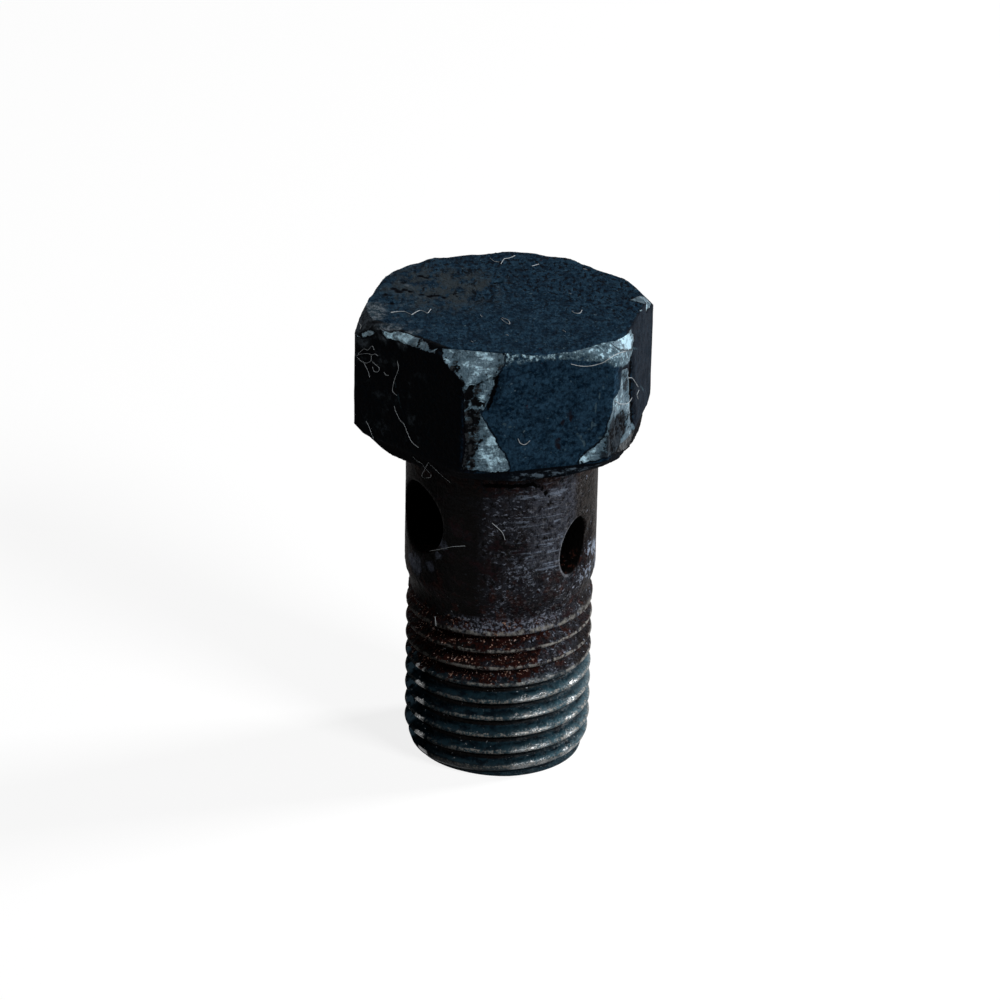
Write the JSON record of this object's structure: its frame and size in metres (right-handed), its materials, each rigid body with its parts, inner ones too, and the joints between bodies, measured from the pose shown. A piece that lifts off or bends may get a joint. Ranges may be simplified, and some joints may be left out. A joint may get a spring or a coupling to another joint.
{
  "type": "banjo bolt",
  "caption": "Hollow hexagon-head bolt with a fine thread, a plain shank and radial cross holes, which clamps a ring fitting and feeds fluid into it.",
  "frame": {"origin": "centre of the end face at the threaded tip", "axes": "+Z along the bolt's axis from the threaded tip to the head, -Y towards the side with the two cross holes"},
  "size_m": [0.0156, 0.0156, 0.0255],
  "materials": {
    "painted_steel": "matt dark blue-black paint, pitted, worn to bare steel on the corners, rusty at the neck and thread"
  },
  "bodies": {
    "root": {"banjo_bolt": "painted_steel"}
  },
  "joints": []
}
